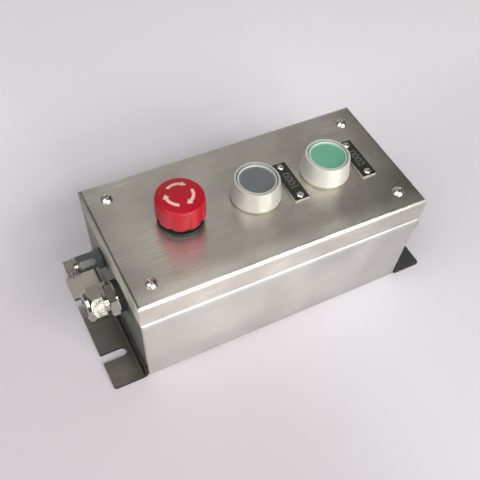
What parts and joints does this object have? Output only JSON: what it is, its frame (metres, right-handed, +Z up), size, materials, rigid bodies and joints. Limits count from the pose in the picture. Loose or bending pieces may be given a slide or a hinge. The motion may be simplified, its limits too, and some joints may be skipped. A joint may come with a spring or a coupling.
{
  "type": "push button control station",
  "caption": "Brushed stainless control station with an emergency stop, a grey and a green push button, label plates, slotted feet and two cable entries on one end.",
  "frame": {"origin": "centre of the enclosure's underside, in the plane that the feet stand on", "axes": "+X along the enclosure towards the green button, +Y to the rear, +Z up out of the lid"},
  "size_m": [0.2542, 0.1, 0.1056],
  "materials": {
    "enclosure_steel": "ground stainless sheet",
    "lid_steel": "brushed stainless sheet, grain along the length",
    "foot_steel": "brushed stainless sheet",
    "screw_steel": "bright turned steel",
    "zinc_steel": "plated steel",
    "nickel": "nickel plated brass",
    "brass": "plain brass",
    "copper": "plain copper alloy",
    "seal_rubber": "black sealing rubber",
    "label_black": "black engraving laminate",
    "bezel_silver": "satin silver",
    "ring_white": "milky diffuser",
    "cap_grey": "glossy lens",
    "cap_green": "glossy lens",
    "head_red": "glossy red moulding",
    "collar_black": "black moulding",
    "stem_plastic": "natural moulding",
    "block_plastic": "light moulding",
    "holder_plastic": "dark moulding",
    "plug_black": "black moulding"
  },
  "bodies": {
    "enclosure": {"enclosure_body": "enclosure_steel", "lid": "lid_steel", "lid_seal": "seal_rubber", "rivet_nuts": "zinc_steel", "lid_screws": "screw_steel", "left_foot": "foot_steel", "right_foot": "foot_steel", "drip_lip": "enclosure_steel", "grey_label": "label_black", "green_label": "label_black", "label_screws": "screw_steel", "earth_stud": "zinc_steel", "earth_nuts": "brass", "grey_bezel": "bezel_silver", "grey_light_ring": "ring_white", "grey_spring": "zinc_steel", "grey_washer": "seal_rubber", "grey_clamp_nut": "zinc_steel", "grey_holder": "holder_plastic", "grey_contact_block": "block_plastic", "green_bezel": "bezel_silver", "green_light_ring": "ring_white", "green_spring": "zinc_steel", "green_washer": "seal_rubber", "green_clamp_nut": "zinc_steel", "green_holder": "holder_plastic", "green_contact_block": "block_plastic", "estop_collar": "collar_black", "estop_spring": "zinc_steel", "estop_washer": "seal_rubber", "estop_clamp_nut": "zinc_steel", "estop_holder": "holder_plastic", "estop_contact_block": "block_plastic", "fixed_contacts": "copper", "terminal_screws": "zinc_steel", "gland_washer": "seal_rubber", "gland_body": "nickel", "gland_seal": "seal_rubber", "gland_nut": "nickel", "gland_locknut": "nickel", "plug_seal": "seal_rubber", "plug_panel_nut": "plug_black", "plug_socket": "plug_black", "plug_barrel": "plug_black", "plug_end_ring": "nickel", "plug_clamp": "nickel", "plug_clamp_screws": "zinc_steel", "plug_locknut": "zinc_steel"},
    "grey_button": {"grey_cap": "cap_grey", "grey_stem": "stem_plastic", "grey_moving_contact": "copper"},
    "green_button": {"green_cap": "cap_green", "green_stem": "stem_plastic", "green_moving_contact": "copper"},
    "estop_spindle": {"estop_stem": "stem_plastic", "estop_moving_contact": "copper"},
    "estop_knob": {"estop_head": "head_red"}
  },
  "joints": [
    {"name": "grey_press", "type": "slide", "parent": "enclosure", "child": "grey_button", "axis": [0, 0, -1], "range_m": [0, 0.004], "stiffness_N_per_m": 600, "springref_m": -0.003, "deforming": ["grey_spring"]},
    {"name": "green_press", "type": "slide", "parent": "enclosure", "child": "green_button", "axis": [0, 0, -1], "range_m": [0, 0.004], "stiffness_N_per_m": 600, "springref_m": -0.003, "deforming": ["green_spring"]},
    {"name": "estop_push", "type": "slide", "parent": "enclosure", "child": "estop_spindle", "axis": [0, 0, -1], "range_m": [0, 0.004], "deforming": ["estop_spring"]},
    {"name": "estop_twist", "type": "hinge", "parent": "estop_spindle", "child": "estop_knob", "pos_m": [-0.0524, 0.0016, 0.0831], "axis": [0, 0, -1], "range_deg": [0, 45], "stiffness_Nm_per_rad": 0.02, "springref_deg": -11.46}
  ]
}
